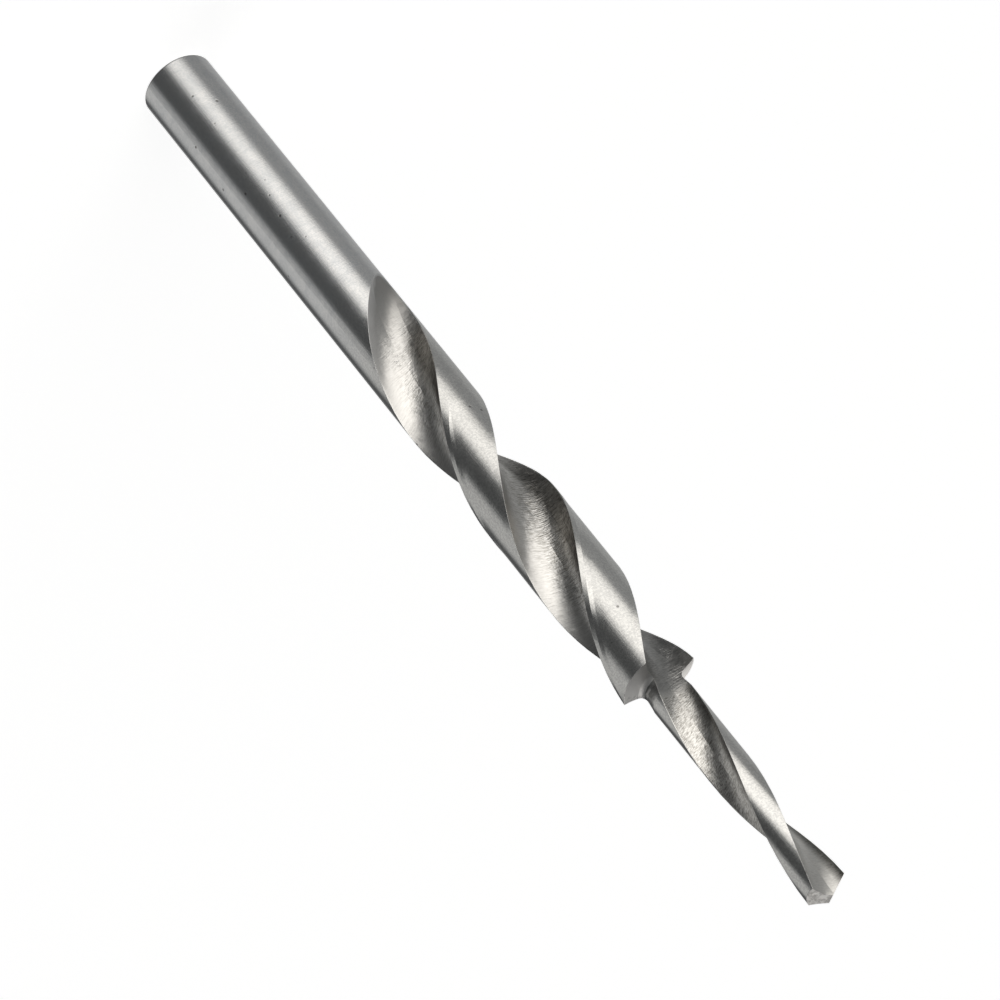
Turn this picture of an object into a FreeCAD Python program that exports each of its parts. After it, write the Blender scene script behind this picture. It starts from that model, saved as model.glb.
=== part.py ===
import FreeCAD, Part
import math
import os

# Step drill bit, ground from one bar of high-speed steel.
# Millimetres and degrees. The origin is the middle of the flat shank end, +Z runs to the point.

# Lengths along the drill
overall_length = 139.7
shank_length = 40.0          # the plain round shank, up to where the body's grinding starts
pilot_length = 33.7          # from the step's cutting edge to the point
flute_start = 58.9           # height at which the flutes reach their full depth
margin_start = 68.0          # height at which the land behind the margin reaches its full relief

# Diameters
body_diameter = 9.5          # at the step's cutting edge
back_taper = 0.05            # by this much the body is slimmer at the shank, so that it runs free in its hole
pilot_diameter = 5.2

# Flutes: two, right-hand, seen in a section square to the drill
lead = 59.0                  # length of one full turn of a flute
web_thickness = 1.24         # at the point
web_taper = 0.018            # growth of the web for each millimetre towards the shank
floor_radius = 3.45
floor_direction = 46.0       # angle from the leading edge to the deepest point of the flute
floor_turn = 10.0            # angle by which the floor goes on past the foot of the rake face
land_angle = 79.0            # angle that one land fills on the large step

# Run-out: where the round grinding wheel leaves the bar
grinding_wheel_diameter = 75.0
runout_direction = 95.0      # angle from the leading edge to the way the wheel leaves
runout_widening = 0.18       # growth of the groove for each millimetre that the wheel has left

# Margin: the narrow full-size strip behind each leading edge
margin_width = 0.65
land_relief = 0.06
relief_slope_width = 0.6     # the wheel's rounded side leaves a slope between the margin and the land
relief_wheel_diameter = 350.0     # larger than the flutes' wheel, so the relief starts gently

# Step between the two diameters
step_slope = 15.0            # rise of the step face towards the pilot
step_relief = 5.5            # fall of the step face behind its cutting edge
step_fillet = 0.9
neck_depth = 0.2             # how far the fillet bites into the foot of the pilot
neck_slope = 8.0             # angle at which the neck runs out along the pilot

# Point: two flat facets, ground a little off the drill's axis
point_angle = 118.0
point_relief = 12.0
point_offset = 0.35
point_offset_direction = -5.0

# Shank end
end_round = 0.25

# Each grinding path starts and ends this far outside the steel
clearance = 1.5
turn_per_section = 15.0

body_radius = body_diameter / 2
shank_radius = body_radius - back_taper / 2
pilot_radius = pilot_diameter / 2
land_radius = body_radius - land_relief
step_height = overall_length - pilot_length
flute_angle = 180.0 - land_angle
drill_axis = FreeCAD.Vector(0, 0, 1)
origin = FreeCAD.Vector(0, 0, 0)


def polar(radius, angle, height=0.0):
    """A point given by its radius, its angle round the drill and its height."""
    turned = math.radians(angle)
    return FreeCAD.Vector(radius * math.cos(turned), radius * math.sin(turned), height)


def leading_edge_angle(height):
    """Angle of the first leading edge. It crosses the X axis at the step."""
    return 360.0 * (height - step_height) / lead


def half_web(height):
    """Half the thickness of the web, which grows from the point to the shank."""
    return (web_thickness + web_taper * (overall_length - height)) / 2


def wheel_lift(height, full_depth_height, wheel_diameter):
    """How far the round grinding wheel has left the work before it reaches full depth."""
    short_of_depth = max(0.0, full_depth_height - height)
    return short_of_depth ** 2 / wheel_diameter


def runout_length(lift, wheel_diameter):
    """Length of drill over which the wheel lifts by a given amount."""
    return math.sqrt(wheel_diameter * lift)


def arc_through(start, heading, end, overrun):
    """An arc that leaves start along heading, passes through end and goes on for the overrun."""
    chord = end - start
    half_turn = math.atan2(heading.cross(chord).z, heading.dot(chord))
    curvature = 2 * math.sin(half_turn) / chord.Length
    length = 2 * half_turn / curvature + overrun
    side = FreeCAD.Vector(-heading.y, heading.x, 0)

    def at(distance):
        turned = curvature * distance
        return start + heading * (math.sin(turned) / curvature) + side * ((1 - math.cos(turned)) / curvature)

    return Part.Arc(start, at(length / 2), at(length)).toShape()


def flute_outline(deepest):
    """The flute's section in one plane, with the leading edge on the X axis and a given deepest radius."""
    floor_centre = polar(deepest + floor_radius, floor_direction)
    floor_end = floor_direction - 180.0
    rake_start = -90.0 - floor_turn
    rake_foot = floor_centre + polar(floor_radius, rake_start)
    floor_quarter = floor_centre + polar(floor_radius, (rake_start + floor_end) / 2)
    floor_middle = polar(deepest, floor_direction)
    leading_edge = polar(body_radius, 0.0)
    heel_edge = polar(land_radius, flute_angle)
    rake = arc_through(rake_foot, polar(1.0, -floor_turn), leading_edge, clearance)
    floor = Part.Arc(rake_foot, floor_quarter, floor_middle).toShape()
    heel = arc_through(floor_middle, polar(1.0, floor_direction + 90.0), heel_edge, clearance)
    outside = polar(2 * body_radius, flute_angle / 2)
    outside_rake = rake.Vertexes[-1].Point
    outside_heel = heel.Vertexes[-1].Point
    edges = [
        rake,
        floor,
        heel,
        Part.makeLine(outside_heel, outside),
        Part.makeLine(outside, outside_rake),
    ]
    return Part.Wire(Part.__sortEdges__(edges))


def margin_outline(relieved_radius):
    """The land behind the margin, as the strip of section that is ground away."""
    margin_end = -math.degrees(margin_width / body_radius)
    slope_turn = math.degrees(relief_slope_width / body_radius)
    slope_foot = margin_end - slope_turn
    slope_top = margin_end + slope_turn
    heel_end = flute_angle - 180.0 - math.degrees(clearance / body_radius)
    outer_radius = body_radius + clearance
    foot = polar(relieved_radius, slope_foot)
    top = polar(relieved_radius + 2 * land_relief, slope_top)
    edges = [
        Part.Arc(foot, polar(relieved_radius, (slope_foot + heel_end) / 2),
                 polar(relieved_radius, heel_end)).toShape(),
        Part.makeLine(polar(relieved_radius, heel_end), polar(outer_radius, heel_end)),
        Part.Arc(polar(outer_radius, heel_end), polar(outer_radius, (slope_top + heel_end) / 2),
                 polar(outer_radius, slope_top)).toShape(),
        Part.makeLine(polar(outer_radius, slope_top), top),
        Part.Arc(top, polar(relieved_radius + land_relief, margin_end), foot).toShape(),
    ]
    return Part.Wire(edges)


def section_heights(first, last):
    """Heights along the drill, close enough together for a true helix."""
    step = lead * turn_per_section / 360.0
    count = math.ceil((last - first) / step)
    return [first + (last - first) * i / count for i in range(count + 1)]


def grinding_path(first, last, outline_at):
    """The solid that a wheel takes away along the helix between two heights."""
    sections = []
    for height in section_heights(first, last):
        section = outline_at(height)
        section.rotate(origin, drill_axis, leading_edge_angle(height))
        section.translate(FreeCAD.Vector(0, 0, height))
        sections.append(section)
    return Part.makeLoft(sections, True)


def flute():
    """One flute, from its run-out in the shank to beyond the point."""
    first = flute_start - runout_length(body_radius, grinding_wheel_diameter)

    def outline_at(height):
        lift = wheel_lift(height, flute_start, grinding_wheel_diameter)
        outline = flute_outline(half_web(height))
        outline.scale(1 + runout_widening * lift, polar(half_web(height), floor_direction))
        outline.translate(polar(lift, runout_direction))
        return outline

    return grinding_path(first, overall_length + clearance, outline_at)


def margin_relief():
    """The relief behind one margin of the large step."""
    first = margin_start - runout_length(2 * land_relief, relief_wheel_diameter)

    def outline_at(height):
        tapered = back_taper / 2 * (step_height - height) / (step_height - shank_length)
        return margin_outline(land_radius - tapered + wheel_lift(height, margin_start, relief_wheel_diameter))

    return grinding_path(first, step_height + clearance, outline_at)


def step_outline(angle):
    """What is ground away above one land's step, in the half plane at an angle from its cutting edge."""
    relief = math.tan(math.radians(step_relief)) * math.sin(math.radians(angle))
    slope = math.tan(math.radians(step_slope)) - relief
    face_angle = math.atan(slope)
    face_at_axis = step_height + body_radius * math.tan(math.radians(step_slope))
    outer_radius = body_radius + clearance
    centre_radius = pilot_radius - neck_depth + step_fillet
    centre_height = face_at_axis - centre_radius * slope + step_fillet / math.cos(face_angle)

    def on_fillet(turn):
        return FreeCAD.Vector(centre_radius + step_fillet * math.cos(turn), 0,
                              centre_height + step_fillet * math.sin(turn))

    fillet_start = -math.pi / 2 - face_angle
    fillet_end = -math.pi - math.radians(neck_slope)
    foot = on_fillet(fillet_start)
    root = on_fillet(fillet_end)
    neck_length = 2 * neck_depth / math.tan(math.radians(neck_slope))
    neck_end = root + FreeCAD.Vector(2 * neck_depth, 0, neck_length)
    outside_top = FreeCAD.Vector(outer_radius, 0, neck_end.z)
    outside_face = FreeCAD.Vector(outer_radius, 0, face_at_axis - outer_radius * slope)
    edges = [
        Part.makeLine(outside_face, foot),
        Part.Arc(foot, on_fillet((fillet_start + fillet_end) / 2), root).toShape(),
        Part.makeLine(root, neck_end),
        Part.makeLine(neck_end, outside_top),
        Part.makeLine(outside_top, outside_face),
    ]
    wire = Part.Wire(edges)
    wire.rotate(origin, drill_axis, angle)
    return wire


def step_face():
    """The ring sector ground away above one land's step, from one flute to the next."""
    into_flute = flute_angle / 4
    sweep = land_angle + 2 * into_flute
    count = math.ceil(sweep / turn_per_section)
    return Part.makeLoft([step_outline(into_flute - sweep * i / count) for i in range(count + 1)], True)


def point_facet():
    """The block of space above one flat facet of the point."""
    corner_height = overall_length - pilot_radius / math.tan(math.radians(point_angle / 2))
    floor_distance = half_web(corner_height) + floor_radius
    floor_to_corner = math.degrees(math.acos(
        (floor_distance ** 2 + pilot_radius ** 2 - floor_radius ** 2) / (2 * floor_distance * pilot_radius)))
    half_web_angle = math.degrees(math.asin(half_web(corner_height) / pilot_radius))
    corner_angle = leading_edge_angle(corner_height) + floor_direction - floor_to_corner
    size = 4 * pilot_radius
    block = Part.makeBox(2 * size, 2 * size, size, FreeCAD.Vector(-size, -size, 0))
    block.rotate(origin, FreeCAD.Vector(1, 0, 0), point_relief)
    block.rotate(origin, FreeCAD.Vector(0, 1, 0), 90.0 - point_angle / 2)
    block.rotate(origin, drill_axis, corner_angle - half_web_angle)
    return block


def blank():
    """The turned bar: the shank, the large step with its back taper, and the pilot."""
    bar_top = step_height + clearance / 2 + step_fillet
    bar_radius = shank_radius + back_taper / 2 * (bar_top - shank_length) / (step_height - shank_length)
    outline = [
        FreeCAD.Vector(0, 0, 0),
        FreeCAD.Vector(shank_radius - end_round, 0, 0),
        FreeCAD.Vector(shank_radius, 0, end_round),
        FreeCAD.Vector(shank_radius, 0, shank_length),
        FreeCAD.Vector(bar_radius, 0, bar_top),
        FreeCAD.Vector(pilot_radius, 0, bar_top),
        FreeCAD.Vector(pilot_radius, 0, overall_length),
        FreeCAD.Vector(0, 0, overall_length),
    ]
    rounding = end_round * (1 - math.sqrt(0.5))
    end_arc = Part.Arc(outline[1], FreeCAD.Vector(shank_radius - rounding, 0, rounding), outline[2]).toShape()
    edges = [Part.makeLine(outline[0], outline[1]), end_arc]
    edges += [Part.makeLine(start, end) for start, end in zip(outline[2:], outline[3:] + outline[:1])]
    section = Part.Face(Part.Wire(edges))
    section.rotate(origin, drill_axis, -land_angle / 2)
    return section.revolve(origin, drill_axis, 360)


def opposite(tool):
    """The same cut made again with the drill turned half round."""
    turned = tool.copy()
    turned.rotate(origin, drill_axis, 180)
    return turned


def drill_bit():
    """The finished drill: the bar with every cut made on both sides."""
    drill = blank()
    for tool in (flute(), margin_relief(), step_face()):
        drill = drill.cut(tool)
        drill = drill.cut(opposite(tool))
    facet = point_facet()
    apex = polar(point_offset, point_offset_direction, overall_length)
    for block in (facet, opposite(facet)):
        block.translate(apex)
        drill = drill.cut(block)
    return drill.removeSplitter()


os.makedirs("parts", exist_ok=True)
drill_bit().exportStep("parts/drill_bit.step")
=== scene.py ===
import math

import bpy
from mathutils import Euler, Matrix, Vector

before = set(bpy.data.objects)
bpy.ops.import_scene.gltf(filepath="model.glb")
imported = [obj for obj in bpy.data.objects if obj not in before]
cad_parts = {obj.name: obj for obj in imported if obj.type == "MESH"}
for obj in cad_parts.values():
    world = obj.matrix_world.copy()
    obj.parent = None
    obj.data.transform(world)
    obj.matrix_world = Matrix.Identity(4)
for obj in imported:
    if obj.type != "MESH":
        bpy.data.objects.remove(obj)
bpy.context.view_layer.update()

# The drill: one bar of high-speed steel, turned, fluted, relieved and sharpened on grinding machines and
# left bare. Its shape is the frame's own, so the frame's piece stays and gets its finish here.
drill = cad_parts["drill_bit"]
MM = 0.001
LEAD = 59.0
STEP_HEIGHT = 106.0


def linear(hex_colour):
    """An sRGB hex colour as linear light."""
    parts = [int(hex_colour[i:i + 2], 16) / 255 for i in (1, 3, 5)]
    return [c / 12.92 if c <= 0.04045 else ((c + 0.055) / 1.055) ** 2.4 for c in parts] + [1.0]


def add(tree, kind, inputs=None, **settings):
    """One node with its settings, its values and its links."""
    made = tree.nodes.new(kind)
    for name, value in settings.items():
        setattr(made, name, value)
    for key, value in (inputs or {}).items():
        if isinstance(value, bpy.types.NodeSocket):
            tree.links.new(value, made.inputs[key])
        else:
            made.inputs[key].default_value = value
    return made


# Ground high-speed steel is a neutral grey metal with a satin shine. The wheel leaves lines: fine ones
# round the shank and the lands, and coarse ones across the flutes, which break up what the flutes mirror.
# All places and depths in it are millimetres, and heights run from the shank end to the point.
steel = bpy.data.materials.new("ground high-speed steel")
steel.use_nodes = True
tree = steel.node_tree
tree.nodes.clear()
place = add(tree, "ShaderNodeVectorMath", {
    0: add(tree, "ShaderNodeTexCoord").outputs["Object"], 3: 1 / MM}, operation="SCALE").outputs[0]
x, y, height = add(tree, "ShaderNodeSeparateXYZ", {0: place}).outputs
flat = add(tree, "ShaderNodeCombineXYZ", {0: x, 1: y}).outputs[0]
radius = add(tree, "ShaderNodeVectorMath", {0: flat}, operation="LENGTH").outputs["Value"]

# The section's own axes, which turn with the flutes: the first leading edge lies on its X axis.
turn = add(tree, "ShaderNodeMath", {
    0: height, 1: -math.tau / LEAD, 2: math.tau * STEP_HEIGHT / LEAD}, operation="MULTIPLY_ADD").outputs[0]
section = add(tree, "ShaderNodeVectorRotate", {"Vector": place, "Angle": turn},
              rotation_type="Z_AXIS").outputs[0]
u, v = add(tree, "ShaderNodeSeparateXYZ", {0: section}).outputs[:2]

# Where the bar's own turned surface is left, and where a flute has been ground into it. A flute's wall
# gives way to the land between the two radii of a rim.
BODY_RIM = (4.56, 4.66)
PILOT_RIM = (2.50, 2.57)
NECK = (108.0, 109.0)
on_body = add(tree, "ShaderNodeMapRange", {"Value": radius, "From Min": BODY_RIM[0], "From Max": BODY_RIM[1]},
              interpolation_type="SMOOTHSTEP").outputs[0]
on_pilot = add(tree, "ShaderNodeMapRange", {
    "Value": radius, "From Min": PILOT_RIM[0], "From Max": PILOT_RIM[1]},
    interpolation_type="SMOOTHSTEP").outputs[0]
past_step = add(tree, "ShaderNodeMapRange", {
    "Value": height, "From Min": NECK[0], "From Max": NECK[1]}).outputs[0]
pilot_side = add(tree, "ShaderNodeMath", {0: past_step, 1: on_pilot}, operation="MULTIPLY").outputs[0]
turned = add(tree, "ShaderNodeMath", {0: on_body, 1: pilot_side}, operation="MAXIMUM").outputs[0]

# Lines round the shank and the lands: 0.1 mm apart, coarser than the wheel's real ones, which would not
# show at this size.
RINGS_PER_MM = (0.25, 0.25, 9.0)
RING_DEPTH = 0.004
ring = add(tree, "ShaderNodeVectorMath", {0: place, 1: RINGS_PER_MM}, operation="MULTIPLY").outputs[0]
rings = add(tree, "ShaderNodeTexNoise", {"Vector": ring, "Scale": 1.0, "Detail": 2.0}).outputs[0]
ring_relief = add(tree, "ShaderNodeMath", {0: rings, 1: RING_DEPTH}, operation="MULTIPLY").outputs[0]

# Faint scratches along the drill, from guide bushings and chucks.
SCRATCHES_PER_MM = (6.0, 6.0, 0.2)
SCRATCH_DEPTH = 0.004
scratch = add(tree, "ShaderNodeVectorMath", {0: place, 1: SCRATCHES_PER_MM}, operation="MULTIPLY").outputs[0]
scratches = add(tree, "ShaderNodeTexNoise", {"Vector": scratch, "Scale": 1.0, "Detail": 1.0}).outputs[0]
worn_relief = add(tree, "ShaderNodeMath", {0: scratches, 1: SCRATCH_DEPTH, 2: ring_relief},
                  operation="MULTIPLY_ADD").outputs[0]

# A few small pits, deepest in their inner half.
PITS_PER_MM = 0.4
PIT_RADIUS = 0.09
PIT_DEPTH = 0.012
pit_centre = add(tree, "ShaderNodeTexVoronoi", {"Vector": place, "Scale": PITS_PER_MM}).outputs["Distance"]
pit = add(tree, "ShaderNodeMapRange", {
    "Value": pit_centre, "From Min": 0.5 * PIT_RADIUS, "From Max": PIT_RADIUS, "To Min": 1.0,
    "To Max": 0.0}).outputs[0]
pitted_relief = add(tree, "ShaderNodeMath", {0: pit, 1: -PIT_DEPTH, 2: worn_relief},
                    operation="MULTIPLY_ADD").outputs[0]

# The lands rub in the hole: a grain of 0.25 mm, coarser than the real one, which is fainter on the shank.
GRAIN_PER_MM = 4.0
GRAIN_DEPTH = 0.006
SHANK_GRAIN_DEPTH = 0.003
RUBBED_LENGTH = (40.0, 56.0)
grain = add(tree, "ShaderNodeTexNoise", {
    "Vector": place, "Scale": GRAIN_PER_MM, "Detail": 2.0, "Roughness": 0.6}).outputs[0]
worn = add(tree, "ShaderNodeMapRange", {
    "Value": height, "From Min": RUBBED_LENGTH[0], "From Max": RUBBED_LENGTH[1]}).outputs[0]
grain_depth = add(tree, "ShaderNodeMapRange", {
    "Value": worn, "To Min": SHANK_GRAIN_DEPTH, "To Max": GRAIN_DEPTH}).outputs[0]
turned_relief = add(tree, "ShaderNodeMath", {0: grain, 1: grain_depth, 2: pitted_relief},
                    operation="MULTIPLY_ADD").outputs[0]

# Lines across the flutes: hair-like streaks 1.2 mm long and 0.15 mm wide, a little slanted, deeper in
# some patches than in others. The real ones are finer, too fine to show.
STREAK_SLANT = 20.0
STREAKS_PER_MM = (0.8, 0.8, 6.5)
STREAK_DEPTH = 0.06
PATCHES_PER_MM = 0.6
slant = add(tree, "ShaderNodeVectorRotate", {
    "Vector": section, "Axis": (1.0, 0.0, 0.0), "Angle": math.radians(STREAK_SLANT)}).outputs[0]
across = add(tree, "ShaderNodeVectorMath", {0: slant, 1: STREAKS_PER_MM}, operation="MULTIPLY").outputs[0]
streaks = add(tree, "ShaderNodeTexNoise", {
    "Vector": across, "Scale": 1.0, "Detail": 2.0, "Roughness": 0.65}).outputs[0]
patches = add(tree, "ShaderNodeTexNoise", {
    "Vector": place, "Scale": PATCHES_PER_MM, "Detail": 2.0}).outputs[0]
patchy = add(tree, "ShaderNodeMapRange", {
    "Value": patches, "From Min": 0.38, "From Max": 0.62, "To Min": 0.6 * STREAK_DEPTH,
    "To Max": 1.4 * STREAK_DEPTH}).outputs[0]

# The streaks are deep from the floor to the cutting edge, and fade out on the heel's side of the body.
FLOOR_SLANT = 0.3
ROUGH_FROM, ROUGH_TO = -1.2, 0.7
HEEL_SHARE = 0.15
over_floor = add(tree, "ShaderNodeMath", {0: u, 1: FLOOR_SLANT, 2: v}, operation="MULTIPLY_ADD").outputs[0]
side = add(tree, "ShaderNodeMath", {0: over_floor}, operation="SIGN").outputs[0]
to_edge = add(tree, "ShaderNodeMath", {0: u, 1: side}, operation="MULTIPLY").outputs[0]
rough_part = add(tree, "ShaderNodeMapRange", {
    "Value": to_edge, "From Min": ROUGH_FROM, "From Max": ROUGH_TO, "To Min": HEEL_SHARE, "To Max": 1.0},
    interpolation_type="SMOOTHSTEP").outputs[0]
body_and_pilot = add(tree, "ShaderNodeMath", {0: rough_part, 1: past_step}, operation="MAXIMUM").outputs[0]

# The wheel that sharpened the point has smoothed the flutes' last 10 mm.
SHARPENED_LENGTH = (126.0, 132.0)
SMOOTHED_SHARE = 0.3
smoothed = add(tree, "ShaderNodeMapRange", {
    "Value": height, "From Min": SHARPENED_LENGTH[0], "From Max": SHARPENED_LENGTH[1], "To Min": 1.0,
    "To Max": SMOOTHED_SHARE}).outputs[0]
roughened = add(tree, "ShaderNodeMath", {0: body_and_pilot, 1: smoothed}, operation="MULTIPLY").outputs[0]

# The streaks are fainter on the pilot, and a fine pitted grain lies over them everywhere.
PILOT_SHARE = 0.45
PITTED_GRAIN_DEPTH = 0.026
body_share = add(tree, "ShaderNodeMapRange", {
    "Value": past_step, "To Min": 1.0, "To Max": PILOT_SHARE}).outputs[0]
streak_share = add(tree, "ShaderNodeMath", {0: roughened, 1: body_share}, operation="MULTIPLY").outputs[0]
streak_depth = add(tree, "ShaderNodeMath", {0: patchy, 1: streak_share}, operation="MULTIPLY").outputs[0]
streak_cut = add(tree, "ShaderNodeMath", {0: streaks, 1: streak_depth}, operation="MULTIPLY").outputs[0]
pitted_grain = add(tree, "ShaderNodeMath", {0: grain, 1: PITTED_GRAIN_DEPTH},
                   operation="MULTIPLY").outputs[0]
streak_relief = add(tree, "ShaderNodeMath", {0: pitted_grain, 1: roughened, 2: streak_cut},
                    operation="MULTIPLY_ADD").outputs[0]

# At the flutes' run-out the wheel only slid along, and left fine lengthwise lines.
SLIDES_PER_MM = (5.0, 5.0, 0.4)
SLIDE_DEPTH = 0.014
SLIDE_LENGTH = (44.0, 53.0)
along = add(tree, "ShaderNodeVectorMath", {0: place, 1: SLIDES_PER_MM}, operation="MULTIPLY").outputs[0]
slides = add(tree, "ShaderNodeTexNoise", {"Vector": along, "Scale": 1.0, "Detail": 2.0}).outputs[0]
slide_relief = add(tree, "ShaderNodeMath", {0: slides, 1: SLIDE_DEPTH}, operation="MULTIPLY").outputs[0]
full_depth = add(tree, "ShaderNodeMapRange", {
    "Value": height, "From Min": SLIDE_LENGTH[0], "From Max": SLIDE_LENGTH[1]},
    interpolation_type="SMOOTHSTEP").outputs[0]

# All edges are just broken, so that they catch a line of light.
EDGE_ROUND = 0.05
flute_relief = add(tree, "ShaderNodeMix", {0: full_depth, 2: slide_relief, 3: streak_relief}).outputs[0]
relief = add(tree, "ShaderNodeMix", {0: turned, 2: flute_relief, 3: turned_relief}).outputs[0]
edges = add(tree, "ShaderNodeBevel", {"Radius": EDGE_ROUND * MM}, samples=6).outputs[0]
lines = add(tree, "ShaderNodeBump", {
    "Strength": 1.0, "Distance": MM, "Height": relief, "Normal": edges}).outputs[0]

# The flutes' floors are a little warmer than the shank and speckled with stains, which get fewer towards
# the run-out. The speckles follow the streaks, and are finer on the pilot.
STAINED_LENGTH = (48.0, 64.0)
RUN_OUT_STAIN = 0.25
speckle_scale = add(tree, "ShaderNodeMapRange", {"Value": past_step, "To Min": 1.6, "To Max": 2.6}).outputs[0]
speckle = add(tree, "ShaderNodeTexNoise", {
    "Vector": across, "Scale": speckle_scale, "Detail": 3.0, "Roughness": 0.65}).outputs[0]
stain = add(tree, "ShaderNodeMapRange", {"Value": speckle, "From Min": 0.38, "From Max": 0.56}).outputs[0]
stained_depth = add(tree, "ShaderNodeMapRange", {
    "Value": height, "From Min": STAINED_LENGTH[0], "From Max": STAINED_LENGTH[1],
    "To Min": RUN_OUT_STAIN}, interpolation_type="SMOOTHSTEP").outputs[0]
stained_part = add(tree, "ShaderNodeMath", {0: roughened, 1: stained_depth}, operation="MULTIPLY").outputs[0]
stained = add(tree, "ShaderNodeMapRange", {
    "Value": stained_part, "From Max": 1.0, "To Min": 1.0, "To Max": stain}).outputs[0]
clean_tint = add(tree, "ShaderNodeMix", {
    0: past_step, 6: linear("#cfcdca"), 7: linear("#d5d3cf")}, data_type="RGBA").outputs[2]
stained_tint = add(tree, "ShaderNodeMix", {
    0: past_step, 6: linear("#928f89"), 7: linear("#84807a")}, data_type="RGBA").outputs[2]
floor_tint = add(tree, "ShaderNodeMix", {0: stained, 6: stained_tint, 7: clean_tint},
                 data_type="RGBA").outputs[2]

# The rake faces are painted darker, as painted shade for the dim light they mirror deep in the flute, and
# speckled with the floor's stains. They lie near the section's X axis, outside the floor's own radius.
RAKE_SIDE = (0.4, 1.4)
RAKE_FOOT, PILOT_RAKE_FOOT = 1.7, 1.3
RAKE_FADE = 0.9
off_axis = add(tree, "ShaderNodeMath", {0: v}, operation="ABSOLUTE").outputs[0]
off_rake = add(tree, "ShaderNodeMapRange", {
    "Value": off_axis, "From Min": RAKE_SIDE[0], "From Max": RAKE_SIDE[1]},
    interpolation_type="SMOOTHSTEP").outputs[0]
rake_foot = add(tree, "ShaderNodeMapRange", {
    "Value": past_step, "To Min": RAKE_FOOT, "To Max": PILOT_RAKE_FOOT}).outputs[0]
rake_top = add(tree, "ShaderNodeMath", {0: rake_foot, 1: RAKE_FADE}, operation="ADD").outputs[0]
below_rake = add(tree, "ShaderNodeMapRange", {
    "Value": radius, "From Min": rake_foot, "From Max": rake_top, "To Min": 1.0, "To Max": 0.0}).outputs[0]
floor_part = add(tree, "ShaderNodeMath", {0: off_rake, 1: below_rake}, operation="MAXIMUM").outputs[0]
# Painted shade: the rake faces' tint is darker than the floor's, speckled like its stains.
rake_painted_shade_tint = add(tree, "ShaderNodeMix", {0: stain, 6: linear("#63605c"), 7: linear("#8f8d89")},
                data_type="RGBA").outputs[2]
length_tint = add(tree, "ShaderNodeMix", {0: floor_part, 6: rake_painted_shade_tint, 7: floor_tint},
                  data_type="RGBA").outputs[2]

# Just below the step the whole flute is dull, because the wheel that made the step ran over it.
DULLED_LENGTH = (93.0, 102.0)
near_step = add(tree, "ShaderNodeMapRange", {
    "Value": height, "From Min": DULLED_LENGTH[0], "From Max": DULLED_LENGTH[1]},
    interpolation_type="SMOOTHSTEP").outputs[0]
dulled = add(tree, "ShaderNodeMath", {0: near_step, 1: past_step}, operation="SUBTRACT").outputs[0]
dull_tint = add(tree, "ShaderNodeMix", {0: stain, 6: linear("#8b8a88"), 7: linear("#a5a4a2")},
                data_type="RGBA").outputs[2]
deep_tint = add(tree, "ShaderNodeMix", {0: dulled, 6: length_tint, 7: dull_tint},
                data_type="RGBA").outputs[2]

# The end of the run-out is plain grey steel.
RUN_OUT_LENGTH = (42.0, 52.0)
run_out = add(tree, "ShaderNodeMapRange", {
    "Value": height, "From Min": RUN_OUT_LENGTH[0], "From Max": RUN_OUT_LENGTH[1]},
    interpolation_type="SMOOTHSTEP").outputs[0]
flute_tint = add(tree, "ShaderNodeMix", {0: run_out, 6: linear("#a3a19e"), 7: deep_tint},
                 data_type="RGBA").outputs[2]

# The lands are grained, handling has polished the shank in soft patches, and the pits are dark.
GRAIN_ON_SHANK = 0.5
grainy = add(tree, "ShaderNodeMapRange", {"Value": grain, "From Min": 0.4, "From Max": 0.6}).outputs[0]
land_tint = add(tree, "ShaderNodeMix", {0: grainy, 6: linear("#c0bfbd"), 7: linear("#cfcecb")},
                data_type="RGBA").outputs[2]
polished = add(tree, "ShaderNodeMapRange", {
    "Value": patches, "From Min": 0.35, "From Max": 0.65}).outputs[0]
polished_grain = add(tree, "ShaderNodeMix", {0: GRAIN_ON_SHANK, 2: polished, 3: grainy}).outputs[0]
shank_tint = add(tree, "ShaderNodeMix", {0: polished_grain, 6: linear("#cbcccd"), 7: linear("#dad9d8")},
                 data_type="RGBA").outputs[2]
bar_tint = add(tree, "ShaderNodeMix", {0: worn, 6: shank_tint, 7: land_tint}, data_type="RGBA").outputs[2]
pitted_tint = add(tree, "ShaderNodeMix", {0: pit, 6: bar_tint, 7: linear("#8f8d8b")},
                  data_type="RGBA").outputs[2]
side_tint = add(tree, "ShaderNodeMix", {0: turned, 6: flute_tint, 7: pitted_tint},
                data_type="RGBA").outputs[2]

# The faces that look upwards were ground dry, and are duller, and their tint is a painted highlight, lighter
# than the rest of the steel: the step's almost white, the point's mottled.
UPWARD = (0.42, 0.5)
GRIT_PER_MM = 1.8
normal = add(tree, "ShaderNodeNewGeometry").outputs["Normal"]
upward = add(tree, "ShaderNodeSeparateXYZ", {0: normal}).outputs[2]
up_face_dull_and_lit = add(tree, "ShaderNodeMapRange", {
    "Value": upward, "From Min": UPWARD[0], "From Max": UPWARD[1]}).outputs[0]
grit = add(tree, "ShaderNodeTexNoise", {
    "Vector": place, "Scale": GRIT_PER_MM, "Detail": 3.0, "Roughness": 0.7}).outputs[0]
mottled = add(tree, "ShaderNodeMapRange", {"Value": grit, "From Min": 0.4, "From Max": 0.6}).outputs[0]
# Painted highlight: the point's real mottle runs from grey to near white, and the step face is near white.
point_mottle_and_highlight_tint = add(tree, "ShaderNodeMix", {0: mottled, 6: linear("#b4b2b0"), 7: linear("#e8e6e4")},
                 data_type="RGBA").outputs[2]
upward_painted_highlight_tint = add(tree, "ShaderNodeMix", {0: past_step, 6: linear("#e6e4e2"), 7: point_mottle_and_highlight_tint},
                data_type="RGBA").outputs[2]
tint = add(tree, "ShaderNodeMix", {0: up_face_dull_and_lit, 6: side_tint, 7: upward_painted_highlight_tint}, data_type="RGBA").outputs[2]

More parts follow.
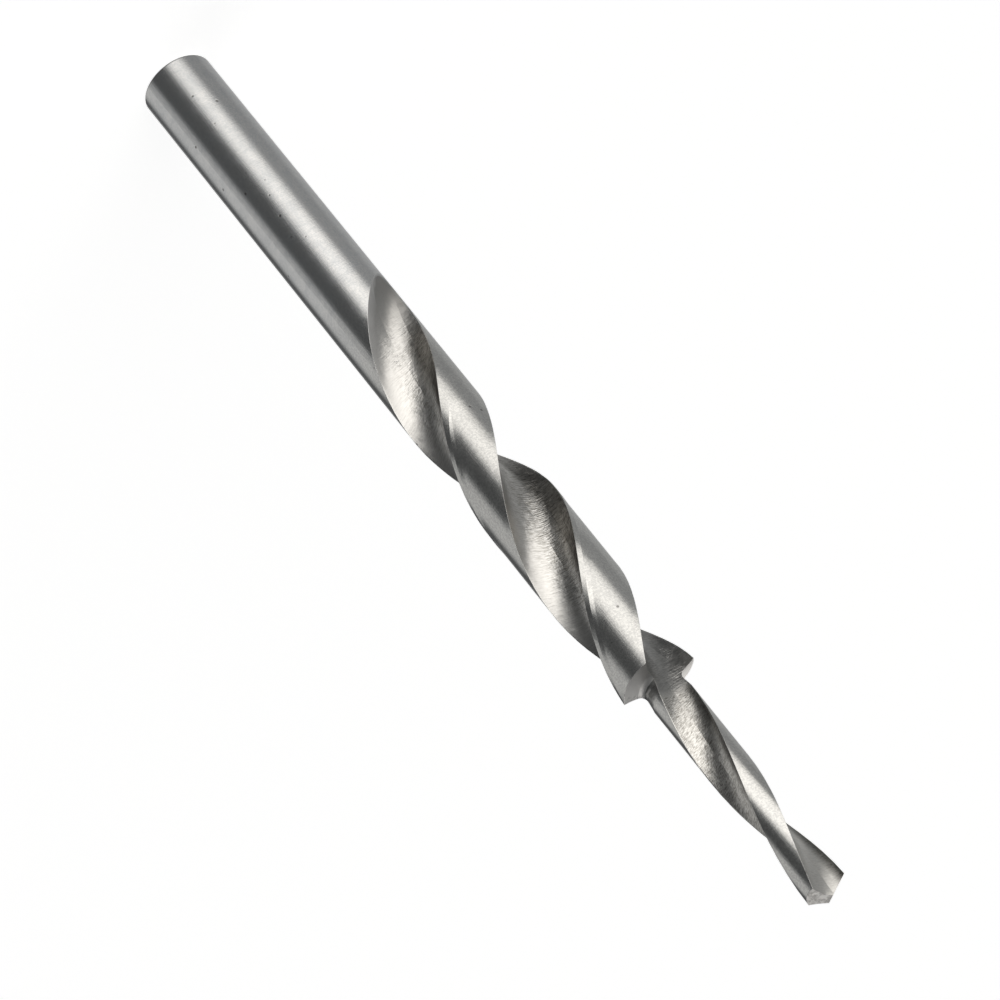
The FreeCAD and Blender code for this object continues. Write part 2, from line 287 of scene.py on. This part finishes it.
# The turned surface is the smoothest, most of all where it is polished, then the flutes, then those faces.
TURNED_ROUGHNESS, POLISHED_ROUGHNESS = 0.24, 0.20
FLUTE_ROUGHNESS = 0.30
FACE_ROUGHNESS = 0.42
turned_roughness = add(tree, "ShaderNodeMapRange", {
    "Value": polished, "To Min": TURNED_ROUGHNESS, "To Max": POLISHED_ROUGHNESS}).outputs[0]
side_roughness = add(tree, "ShaderNodeMix", {0: turned, 2: FLUTE_ROUGHNESS, 3: turned_roughness}).outputs[0]
roughness = add(tree, "ShaderNodeMix", {0: up_face_dull_and_lit, 2: side_roughness, 3: FACE_ROUGHNESS}).outputs[0]
metal = add(tree, "ShaderNodeBsdfPrincipled", {
    "Base Color": tint, "Metallic": 1.0, "Roughness": roughness, "Normal": lines})
add(tree, "ShaderNodeOutputMaterial", {"Surface": metal.outputs[0]})
for number in range(len(drill.data.materials)):
    drill.material_slots[number].material = steel

# The floor: a plain pale sheet that the drill stands on, white to the camera but for the drill's shadow.
# Some of the studio's lamps stand lower than the sheet, so it lets their light through to the drill, and
# the steel mirrors them in its place.
SHEET_SIZE = 12.0
bpy.ops.mesh.primitive_plane_add(size=SHEET_SIZE)
floor = bpy.context.object
floor.name = "floor"
floor.visible_glossy = False
floor.visible_shadow = False
# Matt white paper has no shine. The studio's light brings it to 0.19, and this much more, for the camera
# alone, makes it just white and keeps the shadow.
SHEET_GLOW = 0.81
sheet = bpy.data.materials.new("matt white paper")
sheet.use_nodes = True
tree = sheet.node_tree
tree.nodes.clear()
rays = add(tree, "ShaderNodeLightPath")
paper = add(tree, "ShaderNodeBsdfDiffuse", {"Color": linear("#e8e8e8")})
seen_glow = add(tree, "ShaderNodeMath", {0: rays.outputs["Is Camera Ray"], 1: SHEET_GLOW},
                operation="MULTIPLY").outputs[0]
glow = add(tree, "ShaderNodeEmission", {"Color": linear("#ffffff"), "Strength": seen_glow})
both = add(tree, "ShaderNodeAddShader", {0: paper.outputs[0], 1: glow.outputs[0]})
add(tree, "ShaderNodeOutputMaterial", {"Surface": both.outputs[0]})
floor.data.materials.append(sheet)

# The light: a dim room with soft round lamps. The strongest is to the left of the camera, and the one
# opposite the camera stands for the white backdrop, which the steel mirrors.
ROOM = 0.09
LAMPS = (
    # azimuth, elevation, inner and outer half angle in degrees, level
    (-113.0, -4.0, 22.0, 47.0, 1.56),
    (-85.0, 2.0, 5.0, 38.0, 0.45),
    (13.0, -27.0, 12.0, 36.0, 0.52),
    (120.0, -32.0, 8.0, 46.0, 0.36),
    (100.0, -5.0, 14.0, 30.0, 0.95),
    (100.0, -52.0, 5.0, 26.0, 0.60),
    (-172.0, -10.0, 15.0, 50.0, 0.26),
    (49.0, 44.0, 6.0, 26.0, 0.85),
)
world = bpy.data.worlds.new("studio")
bpy.context.scene.world = world
world.use_nodes = True
tree = world.node_tree
tree.nodes.clear()
rays = add(tree, "ShaderNodeLightPath")
towards = add(tree, "ShaderNodeTexCoord").outputs["Generated"]
level = ROOM
for azimuth, elevation, inner, outer, strength in LAMPS:
    aim = Euler((0.0, -math.radians(elevation), math.radians(azimuth))).to_matrix() @ Vector((1.0, 0.0, 0.0))
    facing = add(tree, "ShaderNodeVectorMath", {0: towards, 1: aim}, operation="DOT_PRODUCT")
    soft = add(tree, "ShaderNodeMapRange", {
        "Value": facing.outputs["Value"], "From Min": math.cos(math.radians(outer)),
        "From Max": math.cos(math.radians(inner)), "To Max": strength}, interpolation_type="SMOOTHSTEP")
    level = add(tree, "ShaderNodeMath", {0: soft.outputs[0], 1: level}, operation="ADD").outputs[0]
# The lamps are a little warmer than the room's own light. The camera sees a plain white room.
glow_colour = add(tree, "ShaderNodeMix", {0: level, 6: linear("#f9fdff"), 7: linear("#fffdf9")},
                  data_type="RGBA").outputs[2]
seen_colour = add(tree, "ShaderNodeMix", {
    0: rays.outputs["Is Camera Ray"], 6: glow_colour, 7: linear("#ffffff")}, data_type="RGBA").outputs[2]
seen_level = add(tree, "ShaderNodeMix", {0: rays.outputs["Is Camera Ray"], 2: level, 3: 1.0}).outputs[0]
back = add(tree, "ShaderNodeBackground", {"Color": seen_colour, "Strength": seen_level})
add(tree, "ShaderNodeOutputWorld", {"Surface": back.outputs[0]})

# The camera: at the photo's angle, so far off that the drill hardly tapers.
lens = bpy.data.cameras.new("camera")
lens.sensor_width = 36.0
lens.lens = 165.138
lens.clip_start = 0.01
lens.clip_end = 20.0
camera = bpy.data.objects.new("camera", lens)
camera.location = Vector((79.698, -451.989, 338.133)) * MM
camera.rotation_euler = [math.radians(degrees) for degrees in (-53.6527, -32.9150, 168.0620)]
bpy.context.scene.collection.objects.link(camera)
bpy.context.scene.camera = camera
bpy.context.scene.view_settings.view_transform = "Standard"
